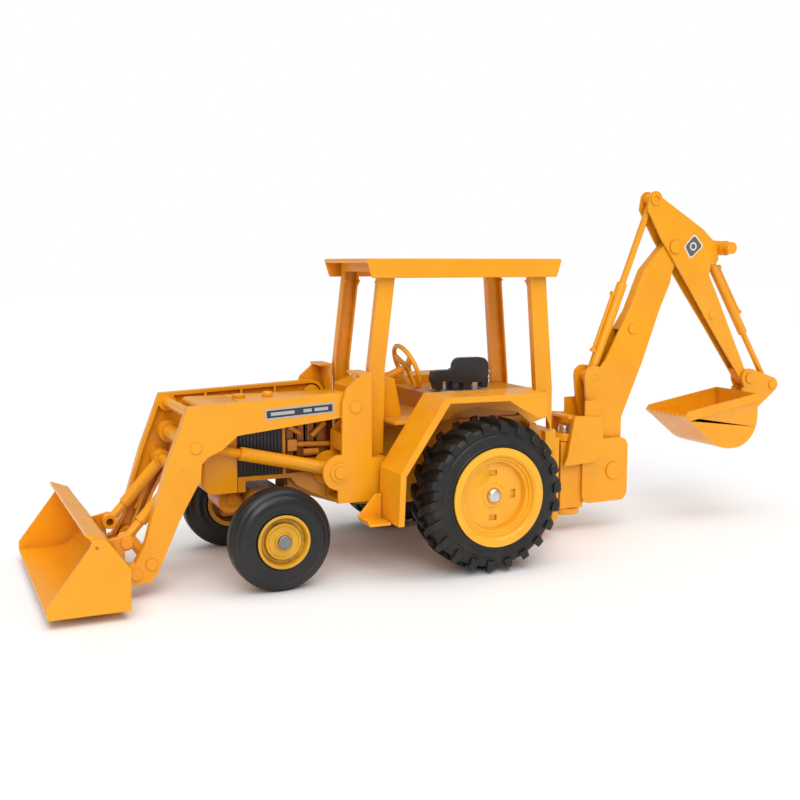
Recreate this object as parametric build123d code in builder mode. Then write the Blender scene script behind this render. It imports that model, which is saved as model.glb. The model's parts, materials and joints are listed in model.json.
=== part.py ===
from build123d import *
import math
import os

# Toy backhoe loader, 1:16, in millimetres. X runs forward, Y to the left and Z up.
# The origin lies on the ground under the middle of the overall length.
# Outlines are given as (distance ahead of the rear axle, height above the ground).

# ---------------------------------------------------------------- driving dimensions
wheelbase = 127.0
rear_axle_x = 11.5  # rear axle ahead of the origin
rear_tyre_radius = 46.5
front_tyre_radius = 29.4
running = 0.05  # radial clearance of every turning or sliding fit
side_gap = 0.3  # gap between plates that move past each other

rear_rim_face = 81.0  # outer faces of the wheels, from the centre line
rear_tyre_in, rear_tyre_out = 50.5, 79.6
front_rim_face = 64.5
front_tyre_in, front_tyre_out = 46.0, 63.4
rear_axle_radius = 3.0
spindle_radius = 2.4

axle_pivot_height = 42.0  # the front axle rocks about this line
axle_pivot_radius = 2.6

body_half = 22.0  # half width of hood, nose and engine bay
arm_out, arm_in = 39.5, 33.5  # loader arm between these two planes
lift_y = 29.0  # centre plane of the lift cylinders
tilt_y = 25.4  # centre plane of the bucket cylinders
bracket_in, bracket_out = 29.5, 31.7  # bucket brackets

arm_pivot = (75.3, 99.9)
cylinder_foot = (85.2, 61.4)  # lift cylinder on the tower
knee = (169.5, 81.5)  # lift cylinder on the arm, the large cross tube
top_tube = (168.9, 98.9)
tilt_tube = (174.8, 65.8)  # carries the bucket cylinders
tip_tube = (195.6, 18.6)
bucket_pivot = (204.0, 13.7)
bucket_ear = (207.5, 30.0)

swing_x = -96.5
boom_pivot = (-129.2, 40.8)
crowd_foot = (-116.3, 105.0)
dipper_pivot = (-181.8, 194.5)
crowd_head = (-164.5, 227.0)
curl_foot = (-216.5, 186.5)
hoe_pivot = (-253.1, 99.0)
curl_head = (-274.6, 93.2)

os.makedirs("parts", exist_ok=True)


# ---------------------------------------------------------------- shared helpers
def side(y):
    """Upright plane along the vehicle; its normal points to the right."""
    return Plane(origin=(rear_axle_x, y, 0), x_dir=(1, 0, 0), z_dir=(0, -1, 0))


def level(z):
    """Level plane; local x runs forward from the rear axle."""
    return Plane(origin=(rear_axle_x, 0, z), x_dir=(1, 0, 0), z_dir=(0, 0, 1))


def facing(x):
    """Upright plane across the vehicle; its normal points forward."""
    return Plane(origin=(rear_axle_x + x, 0, 0), x_dir=(0, 1, 0), z_dir=(1, 0, 0))


def prism(points, y_from, y_to, mode=Mode.ADD):
    """Straight-sided side outline between two y planes, y_from being further left."""
    with BuildSketch(side(y_from)) as outline:
        with BuildLine():
            Polyline(*points, close=True)
        make_face()
    extrude(outline.sketch, amount=y_from - y_to, mode=mode)


def cross_bar(centre, radius, y_from, y_to, mode=Mode.ADD):
    """Round bar across the vehicle between two y planes, y_from being further left."""
    with BuildSketch(side(y_from)) as circle:
        with Locations(centre):
            Circle(radius)
    extrude(circle.sketch, amount=y_from - y_to, mode=mode)


def along(start, end, y):
    """Plane at start whose normal points from start to end, in the side plane y."""
    direction = (end[0] - start[0], 0, end[1] - start[1])
    return Plane(origin=(rear_axle_x + start[0], y, start[1]), x_dir=(0, 1, 0), z_dir=direction)


def round_bar(start, end, y, radius, begin, finish, mode=Mode.ADD):
    """Round bar on the line from start to end, between two distances from start."""
    with BuildSketch(along(start, end, y).offset(begin)) as circle:
        Circle(radius)
    extrude(circle.sketch, amount=finish - begin, mode=mode)


def block(x_from, x_to, y_from, y_to, z_from, z_to, mode=Mode.ADD):
    """Box given by its limits; x is measured from the rear axle."""
    with BuildSketch(level(z_from)) as base:
        with Locations(((x_from + x_to) / 2, (y_from + y_to) / 2)):
            Rectangle(abs(x_to - x_from), abs(y_to - y_from))
    extrude(base.sketch, amount=z_to - z_from, mode=mode)


def save(piece, name):
    """Labels a finished piece and writes its STEP file."""
    piece.part.label = name
    export_step(piece.part, f"parts/{name}.step")


def save_pair(piece, name):
    """Writes a left-hand piece and its mirror image."""
    save(piece, f"{name}_left")
    with BuildPart() as other:
        mirror(piece.part, about=Plane.XZ)
    save(other, f"{name}_right")


def save_both(piece, name):
    """Writes a left-hand piece and its mirror image as one node."""
    with BuildPart() as both:
        add(piece.part)
        mirror(piece.part, about=Plane.XZ)
    save(both, name)


def distance(start, end):
    return math.hypot(end[0] - start[0], end[1] - start[1])


def lobes(discs, y_from, y_to, mode=Mode.ADD):
    """Plate wrapped tightly round several discs, each a (centre, radius) pair."""
    with BuildSketch(side(y_from)) as plate:
        for centre, radius in discs:
            with Locations(centre):
                Circle(radius)
        make_hull()
    extrude(plate.sketch, amount=y_from - y_to, mode=mode)


def both_hands(near, far):
    """The same pair of y planes on the left and on the right, larger y first."""
    return ((near, far), (-far, -near))


# ---------------------------------------------------------------- rear wheels
def spin(points, centre_x, centre_z, mode=Mode.ADD):
    """Turns a (radius, y) outline about a cross axis through the given centre."""
    frame = Plane(
        origin=(rear_axle_x + centre_x, 0, centre_z), x_dir=(0, 0, 1), z_dir=(1, 0, 0)
    )
    with BuildSketch(frame) as outline:
        with BuildLine():
            Polyline(*[(radius, -y) for radius, y in points], close=True)
        make_face()
    axis = Axis((rear_axle_x + centre_x, 0, centre_z), (0, 1, 0))
    revolve(outline.sketch, axis=axis, mode=mode)


rear_disc = 73.0  # outer face of the dished disc
rear_seat_radius = 27.0

with BuildPart() as rear_rim:
    rear_rim_outline = [
        (rear_axle_radius + running, rear_disc + 0.8),
        (7.0, rear_disc + 0.8),
        (7.6, rear_disc),
        (20.0, rear_disc),
        (20.6, rear_disc + 3.5),
        (22.0, rear_disc + 3.5),
        (22.4, rear_disc + 5.0),
        (23.8, rear_disc + 5.0),
        (24.2, rear_rim_face - 1.2),
        (25.4, rear_rim_face),
        (29.6, rear_rim_face),
        (29.6, rear_tyre_out + 0.2),
        (rear_seat_radius, rear_tyre_out - 1.5),
        (rear_seat_radius, rear_tyre_in + 1.5),
        (29.0, rear_tyre_in - 0.2),
        (29.0, rear_tyre_in - 1.5),
        (25.2, rear_tyre_in - 1.5),
        (25.2, rear_disc - 2.0),
        (8.0, rear_disc - 2.0),
        (8.0, rear_disc - 8.0),
        (rear_axle_radius + running, rear_disc - 8.0),
    ]
    spin(rear_rim_outline, 0, rear_tyre_radius)
    slot_ring, slot_count = 13.5, 3  # up, behind and below the hub
    with BuildSketch(side(rear_disc)) as slots:
        with Locations((0, rear_tyre_radius)):
            with PolarLocations(slot_ring, slot_count, start_angle=90, angular_range=180, endpoint=True):
                Rectangle(3.2, 5.2)
    extrude(slots.sketch, amount=1.4, mode=Mode.SUBTRACT)
save_pair(rear_rim, "rear_rim")

with BuildPart() as rear_tyre:
    rear_tyre_outline = [
        (rear_seat_radius + running, rear_tyre_in + 1.6),
        (rear_seat_radius + running, rear_tyre_out - 1.6),
        (29.4, rear_tyre_out),
        (37.0, rear_tyre_out),
        (43.0, rear_tyre_out - 1.2),
        (45.6, rear_tyre_out - 4.5),
        (rear_tyre_radius, 68.0),
        (rear_tyre_radius, 62.0),
        (45.6, rear_tyre_in + 4.5),
        (43.0, rear_tyre_in + 1.2),
        (37.0, rear_tyre_in),
        (29.4, rear_tyre_in),
    ]
    spin(rear_tyre_outline, 0, rear_tyre_radius)
save_pair(rear_tyre, "rear_tyre")

hub_cap_height = 2.6
with BuildPart() as rear_axle:
    axle_end = rear_disc + 0.8 + side_gap
    cross_bar((0, rear_tyre_radius), rear_axle_radius, axle_end, -axle_end)
    for end in (axle_end, -axle_end - hub_cap_height):
        cross_bar((0, rear_tyre_radius), 4.4, end + hub_cap_height, end)
    chamfer(rear_axle.faces().sort_by(Axis.Y)[-1].edges(), 1.4)
    chamfer(rear_axle.faces().sort_by(Axis.Y)[0].edges(), 1.4)
save(rear_axle, "rear_axle")

# ---------------------------------------------------------------- front wheels
front_seat_radius = 14.0
front_disc = 60.5

with BuildPart() as front_rim:
    front_rim_outline = [
        (spindle_radius + running, front_rim_face - 0.6),
        (4.6, front_rim_face - 0.6),
        (5.4, front_rim_face - 2.2),
        (8.6, front_rim_face - 2.4),
        (9.0, front_rim_face - 1.6),
        (10.2, front_rim_face - 1.6),
        (10.8, front_rim_face - 4.2),
        (12.6, front_rim_face - 4.2),
        (13.7, front_rim_face),
        (15.3, front_rim_face),
        (15.3, front_tyre_out + 0.2),
        (front_seat_radius, front_tyre_out - 1.2),
        (front_seat_radius, front_tyre_in + 1.2),
        (15.0, front_tyre_in - 0.1),
        (15.0, front_tyre_in - 0.9),
        (12.0, front_tyre_in - 0.9),
        (12.0, front_disc - 2.0),
        (5.0, front_disc - 2.0),
        (5.0, front_tyre_in + 0.6),
        (spindle_radius + running, front_tyre_in + 0.6),
    ]
    spin(front_rim_outline, wheelbase, front_tyre_radius)
save_pair(front_rim, "front_rim")

with BuildPart() as front_tyre:
    front_tyre_outline = [
        (front_seat_radius + running, front_tyre_in + 1.3),
        (front_seat_radius + running, front_tyre_out - 1.3),
        (15.6, front_tyre_out),
        (22.0, front_tyre_out),
        (26.6, front_tyre_out - 1.3),
        (28.8, front_tyre_out - 4.2),
        (front_tyre_radius, 56.5),
        (front_tyre_radius, 52.9),
        (28.8, front_tyre_in + 4.2),
        (26.6, front_tyre_in + 1.3),
        (22.0, front_tyre_in),
        (15.6, front_tyre_in),
    ]
    spin(front_tyre_outline, wheelbase, front_tyre_radius)
save_pair(front_tyre, "front_tyre")

# ---------------------------------------------------------------- front axle
beam_end = 44.4
with BuildPart() as front_axle:
    beam_section = [(110, 37), (134, 37), (134, 46), (131, 50), (113, 50), (110, 46)]
    prism(beam_section, 26, -26)
    for hand in (1, -1):
        with BuildSketch(facing(wheelbase - 8)) as drop:
            with BuildLine():
                Polyline(
                    (hand * 24, 38),
                    (hand * 24, 50),
                    (hand * 37, 50),
                    (hand * beam_end, 45),
                    (hand * beam_end, 23.5),
                    (hand * 36, 23.5),
                    (hand * 34, 38),
                    close=True,
                )
            make_face()
        extrude(drop.sketch, amount=16)
    with BuildSketch(facing(105)) as pivot_bore:
        with Locations((0, axle_pivot_height)):
            Circle(axle_pivot_radius + running)
    extrude(pivot_bore.sketch, amount=40, mode=Mode.SUBTRACT)
    for hand in (1, -1):
        cross_bar(
            (wheelbase, front_tyre_radius),
            spindle_radius,
            max(hand * 34, hand * 50),
            min(hand * 34, hand * 50),
            mode=Mode.SUBTRACT,
        )
save(front_axle, "front_axle")

with BuildPart() as spindle:
    centre = (wheelbase, front_tyre_radius)
    spindle_end = front_rim_face - 0.6 + side_gap
    cross_bar(centre, spindle_radius, spindle_end, 35.9)
    cross_bar(centre, 4.3, front_tyre_in + 0.3, beam_end)
    cross_bar(centre, 4.0, spindle_end + 1.5, spindle_end)
    chamfer(spindle.faces().sort_by(Axis.Y)[-1].edges(), 0.5)
save_both(spindle, "front_spindles")

with BuildPart() as axle_pivot_pin:
    with BuildSketch(facing(103)) as pin_circle:
        with Locations((0, axle_pivot_height)):
            Circle(axle_pivot_radius)
    extrude(pin_circle.sketch, amount=38)
save(axle_pivot_pin, "axle_pivot_pin")

# ---------------------------------------------------------------- chassis casting
core_half = 15.0
rail_in, rail_out = 18.5, body_half
with BuildPart() as chassis:
    core = [
        (108.5, 58), (108.5, 50.5), (96, 44), (79, 38), (60, 35), (18, 35), (10, 32),
        (-12, 32), (-24, 36), (-58, 38), (-58, 84), (64.4, 84), (64.4, 66), (58, 58),
    ]
    prism(core, core_half, -core_half)
    rail = [
        (141, 50.6), (141, 59.5), (112, 59.5), (84, 59.5), (58, 59.5), (58, 42),
        (79, 39.5), (96, 47), (105, 52), (109, 57), (136.5, 57), (136.5, 50.6),
    ]
    for y_out in (rail_out, -rail_in):
        prism(rail, y_out, y_out - (rail_out - rail_in))
    block(58, 86, -rail_in, rail_in, 44, 58)
    block(136.5, 141, -rail_in, rail_in, 50.6, 59.5)
    block(136.8, 141, -11, 11, 44, 50.8)
    cross_bar((143.5, 43.6), 6.8, 12.5, -12.5)
    cross_bar((142.4, 45.0), 3.6, 14.5, -14.5)
    block(92, 108.5, -9, 9, 36.5, 52)
    block(60, 84, -22.7, 22.7, 46, 66)
    for y_in, y_out in ((18.2, body_half + 0.6), (-body_half - 0.6, -18.2)):
        block(112.1, 113.8, y_in, y_out, 59.5, 93)
    with BuildSketch(facing(-58)) as rear_flange:
        with Locations((0, 58)):
            Rectangle(52, 44)
    extrude(rear_flange.sketch, amount=5)
    with BuildSketch(side(26)) as axle_trumpet:
        with Locations((0, rear_tyre_radius)):
            Circle(11)
    extrude(axle_trumpet.sketch, amount=52)
    with BuildSketch(side(46)) as axle_tube:
        with Locations((0, rear_tyre_radius)):
            Circle(7.5)
    extrude(axle_tube.sketch, amount=92)
    block(-52, 55, -core_half + 3.5, core_half - 3.5, 20, 80.5, mode=Mode.SUBTRACT)  # open below
    cross_bar((0, rear_tyre_radius), rear_axle_radius, 50, -50, mode=Mode.SUBTRACT)
    with BuildSketch(facing(100)) as pin_seat:
        with Locations((0, axle_pivot_height)):
            Circle(axle_pivot_radius)
    extrude(pin_seat.sketch, amount=41, mode=Mode.SUBTRACT)
save(chassis, "chassis")

# ---------------------------------------------------------------- engine bay
hood_bottom, hood_top = 93.0, 103.4
with BuildPart() as engine:
    block(84, 112, -16, 16, 58, 92.5)
    for x in (88, 94.5, 101, 107.5):
        block(x - 2.2, x + 2.2, 16, 17.6, 66, 90)
        block(x - 2.2, x + 2.2, -17.6, -16, 66, 90)
save(engine, "engine")

# Hoses and rails along each side of the engine, resting against its ribs: start, end, radius.
engine_face = 17.6
engine_hoses = (
    ((109.0, 87.2), (101.3, 82.4), 1.5), ((94.6, 80.6), (86.0, 88.2), 1.7),
    ((104.2, 76.2), (83.0, 75.2), 1.6), ((110.5, 67.0), (86.5, 65.6), 1.7),
)
with BuildPart() as engine_pipes:
    for hand in (1, -1):
        for start, end, radius in engine_hoses:
            round_bar(start, end, hand * (engine_face + radius), radius, 0, distance(start, end))
        near, far = sorted((hand * engine_face, hand * (engine_face + 4.0)), reverse=True)
        prism([(110.4, 79.4), (104.4, 79.4), (104.4, 72.6), (110.4, 72.6)], near, far)
        round_bar((100.4, 71.2), (90.6, 71.2), hand * (engine_face + 2.2), 2.2, 0, 9.8)
save(engine_pipes, "engine_pipes")

nose_front = 162.0
with BuildPart() as nose:
    nose_outline = [
        (141.2, 50.4), (157.5, 50.4), (nose_front, 55.5), (nose_front, hood_bottom),
        (141.2, hood_bottom),
    ]
    prism(nose_outline, body_half, -body_half)
    fillet(nose.edges().filter_by(Axis.Z).sort_by(Axis.X)[-2:], 2.5)
    block(157.5, nose_front + 1, -17, 17, 60, 89, mode=Mode.SUBTRACT)
save(nose, "nose")

with BuildPart() as front_grille:
    block(157.5, nose_front - 0.8, -17, 17, 60, 89)
save(front_grille, "front_grille")

grille_rear, grille_front = 113.8, 141.0
with BuildPart() as side_grille:
    block(grille_rear, grille_front, 18.2, 20.6, 59.5, hood_bottom)
    rib_pitch = 2.1
    rib_count = 12
    for number in range(rib_count):
        x = grille_rear + 2.0 + number * rib_pitch
        block(x - 0.55, x + 0.55, 20.6, 21.6, 60.4, 92.2)
save_both(side_grille, "side_grilles")

with BuildPart() as hood:
    block(64.5, nose_front + 1.0, -body_half - 0.6, body_half + 0.6, hood_bottom, hood_top)
    fillet(hood.edges().filter_by(Axis.X).group_by(Axis.Z)[-1], 3.5)
    fillet(hood.faces().sort_by(Axis.X)[-1].edges().sort_by(Axis.Z)[-1], 2.5)
    seam = 138.5
    block(seam, seam + 0.7, -24, 24, hood_top - 0.5, hood_top + 1, mode=Mode.SUBTRACT)
    block(68, 158, -19, 19, hood_bottom - 1, hood_bottom + 9, mode=Mode.SUBTRACT)
save(hood, "hood")

with BuildPart() as hood_caps:
    for x, radius, height in ((133.5, 4.0, 2.2), (115.5, 3.2, 3.0)):
        with BuildSketch(level(hood_top)) as cap:
            with Locations((x, 0)):
                Circle(radius)
        extrude(cap.sketch, amount=height)
    chamfer(hood_caps.edges().filter_by(GeomType.CIRCLE).group_by(Axis.Z)[-1], 0.7)
    chamfer(hood_caps.edges().filter_by(GeomType.CIRCLE).group_by(Axis.Z)[-2], 0.5)
save(hood_caps, "hood_caps")

with BuildPart() as cowl:
    cowl_outline = [
        (38.5, 84), (36.5, 91), (41.0, 113.0), (46.0, 114.5), (64.4, 107.5), (64.4, 84),
    ]
    prism(cowl_outline, body_half, -body_half)
    fillet(cowl.edges().filter_by(Axis.Y).group_by(Axis.Z)[-1], 3)
save(cowl, "cowl")

# ---------------------------------------------------------------- steering
wheel_centre = (22.8, 117.7)
column_foot = (42.9, 108.8)
column_length = distance(wheel_centre, column_foot)
with BuildPart() as steering_column:
    round_bar(column_foot, wheel_centre, 0, 2.6, -0.5, column_length - 3.4)
    round_bar(column_foot, wheel_centre, 0, 1.3, 0, column_length + 1.6)
    prism(cowl_outline, body_half, -body_half, mode=Mode.SUBTRACT)
save(steering_column, "steering_column")

wheel_plane = along(column_foot, wheel_centre, 0).offset(column_length)
with BuildPart() as steering_wheel:
    rim_radius, rim_wire = 14.6, 1.5
    with BuildSketch(Plane(wheel_plane.origin, x_dir=wheel_plane.x_dir, z_dir=wheel_plane.y_dir)) as wire:
        with Locations((rim_radius, 0)):
            Circle(rim_wire)
    revolve(wire.sketch, axis=Axis(wheel_plane.origin, wheel_plane.z_dir))
    with BuildSketch(wheel_plane.offset(-1.4)) as hub:
        Circle(3.6)
    extrude(hub.sketch, amount=2.6)
    with BuildSketch(wheel_plane.offset(-0.9)) as spokes:
        with PolarLocations(rim_radius / 2, 3, start_angle=90):
            Rectangle(rim_radius, 4.2)
        Circle(3)
    extrude(spokes.sketch, amount=1.6)
    with BuildSketch(wheel_plane.offset(-3)) as bore:
        Circle(1.3 + running)
    extrude(bore.sketch, amount=8, mode=Mode.SUBTRACT)
save(steering_wheel, "steering_wheel")

# ---------------------------------------------------------------- operator station
deck_top, deck_half = 101.5, 47.0
floor_top = 90.0
with BuildPart() as platform:
    deck = [
        (-62, deck_top), (14, deck_top), (14, floor_top), (52.2, floor_top), (52.2, floor_top - 2),
        (12, floor_top - 2), (12, deck_top - 2), (-60, deck_top - 2), (-60, 84), (-62, 84),
    ]
    prism(deck, deck_half, -deck_half)
    block(36, 64.4, -body_half, body_half, floor_top - 4, floor_top + 1, mode=Mode.SUBTRACT)
    block(-50, 10, -14, 14, 84, deck_top - 2)
    for y_from, y_to in both_hands(deck_half + 1, 32):
        block(-63, -50, y_to, y_from, 80, deck_top + 1, mode=Mode.SUBTRACT)
save(platform, "platform")

seat_x = -11.7
with BuildPart() as seat_post:
    with BuildSketch(level(deck_top)) as flange:
        with Locations((seat_x, 0)):
            Circle(17)
    extrude(flange.sketch, amount=1.0)
    with BuildSketch(level(deck_top)) as post:
        with Locations((seat_x, 0)):
            Circle(3.0)
    extrude(post.sketch, amount=9.5)
save(seat_post, "seat_post")

# The seat is turned sideways: its back is a rounded plate along the left, its arm points forward.
seat_bottom, seat_rail = deck_top + 1.3, 108.0
back_y, arm_y = 9.0, 3.0
with BuildPart() as seat:
    with BuildSketch(side(back_y)) as seat_back:
        with BuildLine():
            FilletPolyline(
                (-32.0, seat_rail - 1.4), (-31.4, 122.6), (-7.6, 122.8), (-5.6, seat_rail - 1.4),
                radius=5.5, close=True,
            )
        make_face()
        with BuildLine():
            Polyline(
                (-20, seat_rail), (-6.6, 116.2), (-4.5, 115.2), (7.9, 114.8), (8.8, 111),
                (8.4, seat_rail), close=True,
            )
        make_face()
    extrude(seat_back.sketch, amount=back_y - arm_y)
    for leg in (
        [(1.5, 109.5), (8.4, 109.5), (6.4, seat_bottom), (1.5, seat_bottom)],
        [(-19.5, 109.5), (-12.0, 109.5), (-13.1, 106), (-13.1, seat_bottom), (-19.0, seat_bottom)],
        [(-32, 109.5), (-27, 109.5), (-26.6, seat_bottom), (-31, seat_bottom)],
    ):
        prism(leg, back_y, arm_y)
    cushion = [(-30, seat_rail), (-2, seat_rail), (-2, 112), (-4, 113.4), (-28, 113.4), (-30, 112)]
    prism(cushion, arm_y, -14)
    for x_from, x_to in ((-30, -26), (-6, -2)):
        block(x_from, x_to, -14, -10, seat_bottom, seat_rail)
    with BuildSketch(level(seat_bottom)) as hub:
        with Locations((seat_x, 0)):
            Circle(6)
    extrude(hub.sketch, amount=seat_rail - seat_bottom)
    with BuildSketch(level(seat_bottom)) as turning_circle:
        with Locations((seat_x, 0)):
            Circle(22.4)
    extrude(turning_circle.sketch, amount=30, mode=Mode.INTERSECT)
    with BuildSketch(level(seat_bottom)) as socket:
        with Locations((seat_x, 0)):
            Circle(3.0 + running)
    extrude(socket.sketch, amount=8.6, mode=Mode.SUBTRACT)
save(seat, "seat")

# ---------------------------------------------------------------- fenders and steps
fender_in, fender_out = 49.0, 76.0
with BuildPart() as fender:
    top_z = 106.6
    arch = [(62.7, 34.0), (61.5, 64.3), (33.4, top_z), (-34.0, top_z)]
    under_arch = [(-34.0, top_z - 1.8), (32.4, top_z - 1.8), (59.7, 63.6), (60.9, 34.0)]
    prism(arch + under_arch, fender_out, fender_in)
    skirt = [
        (-34.6, 92.3), (-27.1, 92.4), (-17.7, 97.3), (-9.2, 102.8), (30.1, 103.2), (57.9, 62.8),
        (59.2, 34.0),
    ]
    prism(arch + skirt, fender_out, fender_out - 1.8)
    wall = [
        (62.7, 34.0), (61.5, 64.3), (33.4, top_z), (-40, top_z), (-44, deck_top), (-50, deck_top),
        (-50, 87), (-40, 84), (-30, 92), (0, 96.5), (28, 88), (50, 62), (52, 34),
    ]
    prism(wall, fender_in, deck_half)
save_pair(fender, "fender")

with BuildPart() as step:
    prism([(62.9, 33), (76, 33), (77.8, 36.5), (76.6, 36.5), (75.2, 34.8), (62.9, 34.8)], 66, 50)
    prism([(62.9, 33), (76, 33), (77.8, 36.5), (66.6, 49), (62.9, 49)], 51.5, 50)
save_both(step, "steps")

# ---------------------------------------------------------------- canopy
hoop_out, channel_depth, channel_wall = 31.0, 5.0, 1.2
roof_bottom, roof_top, roof_sheet = 174.5, 186.0, 1.4
bar_bottom = 178.0  # lower edge of the bars under the roof


def hoop_leg(front, rear):
    """Left leg of a hoop, a channel open towards the middle, from its two edge lines."""
    prism(front + rear[::-1], hoop_out, hoop_out - channel_wall)
    for edge, width in ((front, -channel_wall), (rear, channel_wall)):
        shifted = [(x + width, z) for x, z in edge]
        prism(edge + shifted[::-1], hoop_out, hoop_out - channel_depth)


def save_hoop(leg, name, x_from, x_to):
    """Joins a left leg, its mirror image and the bar under the roof."""
    with BuildPart() as hoop:
        add(leg.part)
        mirror(leg.part, about=Plane.XZ)
        block(x_from, x_to, -hoop_out, hoop_out, roof_bottom - 1, roof_top - roof_sheet)
        for x in (x_from, x_to - channel_wall):
            for hand in (1, -1):
                with BuildSketch(facing(x)) as corner_web:
                    with BuildLine():
                        Polyline(
                            (hand * 17, bar_bottom), (hand * 27, bar_bottom - 9),
                            (hand * 27, bar_bottom), close=True,
                        )
                    make_face()
                extrude(corner_web.sketch, amount=channel_wall)
        bar_inside = channel_depth + 0.4
        block(
            x_from + channel_wall, x_to - channel_wall, -hoop_out + channel_wall, hoop_out - channel_wall,
            roof_bottom - 2, roof_top - roof_sheet - channel_wall, mode=Mode.SUBTRACT,
        )
        block(
            x_from - 1, x_to + 1, -hoop_out + bar_inside, hoop_out - bar_inside,
            roof_bottom - 2, bar_bottom, mode=Mode.SUBTRACT,
        )
    save(hoop, name)


with BuildPart() as front_leg:
    leg_front = [(55.3, 174.5), (62.0, 120.0), (61.0, 69.0)]
    leg_rear = [(44.9, 174.5), (51.6, 120.0), (53.0, 69.0)]
    hoop_leg(leg_front, leg_rear)
save_hoop(front_leg, "front_hoop", 44.9, 55.3)

with BuildPart() as rear_leg:
    leg_front = [(-49.0, 174.5), (-54.3, 103.0), (-54.3, 101.6)]
    leg_rear = [(-60.4, 174.5), (-66.4, 103.0), (-66.4, 76.0)]
    prism(leg_front + leg_rear[::-1], hoop_out, hoop_out - channel_wall)
    leg_inside = [(-50.2, 174.5), (-55.5, 103.0), (-55.5, 101.6)]
    prism(leg_front + leg_inside[::-1], hoop_out, hoop_out - channel_depth)
    lip_inside = [(-59.2, 174.5), (-65.2, 103.0), (-65.2, 76.0)]
    prism(leg_rear + lip_inside[::-1], hoop_out, hoop_out - channel_depth)
    block(-62, -54, hoop_out - 6, hoop_out + 1, 70, deck_top, mode=Mode.SUBTRACT)
save_hoop(rear_leg, "rear_hoop", -60.4, -49.0)

with BuildPart() as canopy_roof:
    roof_section = [
        (61.6, roof_bottom), (65.0, roof_top - 1), (64.0, roof_top), (-68.0, roof_top),
        (-69.0, roof_top - 1), (-65.6, roof_bottom),
    ]
    prism(roof_section, 36, -36)
    lip_bottom = roof_top - 2.7
    hollow = [
        (75, roof_bottom - 1), (75, lip_bottom), (63.2, lip_bottom), (63.4, roof_top - roof_sheet),
        (-67.4, roof_top - roof_sheet), (-67.2, lip_bottom), (-80, lip_bottom), (-80, roof_bottom - 1),
    ]
    prism(hollow, 36 - roof_sheet, -36 + roof_sheet, mode=Mode.SUBTRACT)
save(canopy_roof, "canopy_roof")

# ---------------------------------------------------------------- loader towers
cheek_in, cheek_out, cheek_wall = 22.7, 42.2, 1.7
pivot_pin_radius = 2.8
with BuildPart() as tower:
    outer_cheek = [
        (61.4, 43), (86.5, 43), (86.5, 69), (83.8, 72), (83.4, 102.5), (80.7, 110.4),
        (72.4, 117.4), (72.4, 119.6), (65, 119.6), (65, 69), (56, 69), (57, 62),
    ]
    inner_cheek = [
        (61.4, 43), (86.5, 43), (86.5, 69), (83.8, 72), (83.8, 84), (78, 90), (65, 90), (65, 69),
        (56, 69), (57, 62),
    ]
    for outline, y_from, y_to in (
        (outer_cheek, cheek_out, cheek_out - 2.2), (inner_cheek, cheek_in + cheek_wall, cheek_in),
    ):
        prism(outline, y_from, y_to)
        cross_bar(cylinder_foot, 10.5, y_from, y_to)
    block(65, 66.4, cheek_in, cheek_out, 69, 119.6)
    block(65, 73, cheek_in, cheek_out, 118.2, 119.6)
    lower_wall = [(61.4, 43), (64.4, 43), (60.5, 62), (60.5, 67), (66.4, 67), (66.4, 69), (56, 69), (57, 62)]
    prism(lower_wall, cheek_out, cheek_in)
    block(61.4, 86.5, cheek_in, cheek_out, 43, 45.5)
    block(81.8, 83.8, cheek_in, cheek_out, 74, 84)
    cross_bar(cylinder_foot, 5.9, cheek_out + 0.7, cheek_out)
    for centre in (arm_pivot, cylinder_foot):
        cross_bar(centre, pivot_pin_radius + running, cheek_out + 2, cheek_out - 3, mode=Mode.SUBTRACT)
save_pair(tower, "tower")

with BuildPart() as tower_pin:
    cross_bar(arm_pivot, pivot_pin_radius, cheek_out + 0.9, arm_in - side_gap - 1.2)
    cross_bar(arm_pivot, 4.2, arm_in - side_gap, arm_in - side_gap - 1.2)
    cross_bar(arm_pivot, 3.6, cheek_out + 0.9, cheek_out)
    cross_bar(cylinder_foot, pivot_pin_radius, cheek_out + 1.6, cheek_out - 2.0)
    cross_bar(cylinder_foot, 3.6, cheek_out + 1.6, cheek_out + 0.7)
save_both(tower_pin, "tower_pins")

# ---------------------------------------------------------------- backhoe mount
swing_radius = 3.2
lug_top, lug_bottom = 62.7, 16.3
with BuildPart() as backhoe_mount:
    block(-73, -58, -26, 26, 12, 75)
    block(-70, -62, -31, 31, 62, 75)
    block(-80, -73, -20, 20, 12, 68)
    block(-80, -73, -16, 16, 20, 60, mode=Mode.SUBTRACT)
    for bottom, top in ((12, lug_bottom - side_gap), (lug_top + side_gap, 68)):
        with BuildSketch(level(bottom)) as tongue:
            with Locations((swing_x, 0)):
                Circle(11)
            with BuildLine():
                Polyline((swing_x, 4), (-80, 4), (-78, 20), (-78, -20), (-80, -4), (swing_x, -4), close=True)
            make_face()
        extrude(tongue.sketch, amount=top - bottom)
    with BuildSketch(level(10)) as swing_bore:
        with Locations((swing_x, 0)):
            Circle(swing_radius)
    extrude(swing_bore.sketch, amount=70, mode=Mode.SUBTRACT)
save(backhoe_mount, "backhoe_mount")

with BuildPart() as swing_pin:
    for bottom, top, radius in ((11.6, 70.5, swing_radius), (68, 74.4, 4.2)):
        with BuildSketch(level(bottom)) as disc:
            with Locations((swing_x, 0)):
                Circle(radius)
        extrude(disc.sketch, amount=top - bottom)
    fillet(swing_pin.faces().sort_by(Axis.Z)[-1].edges(), 3.2)
save(swing_pin, "swing_pin")

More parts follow.
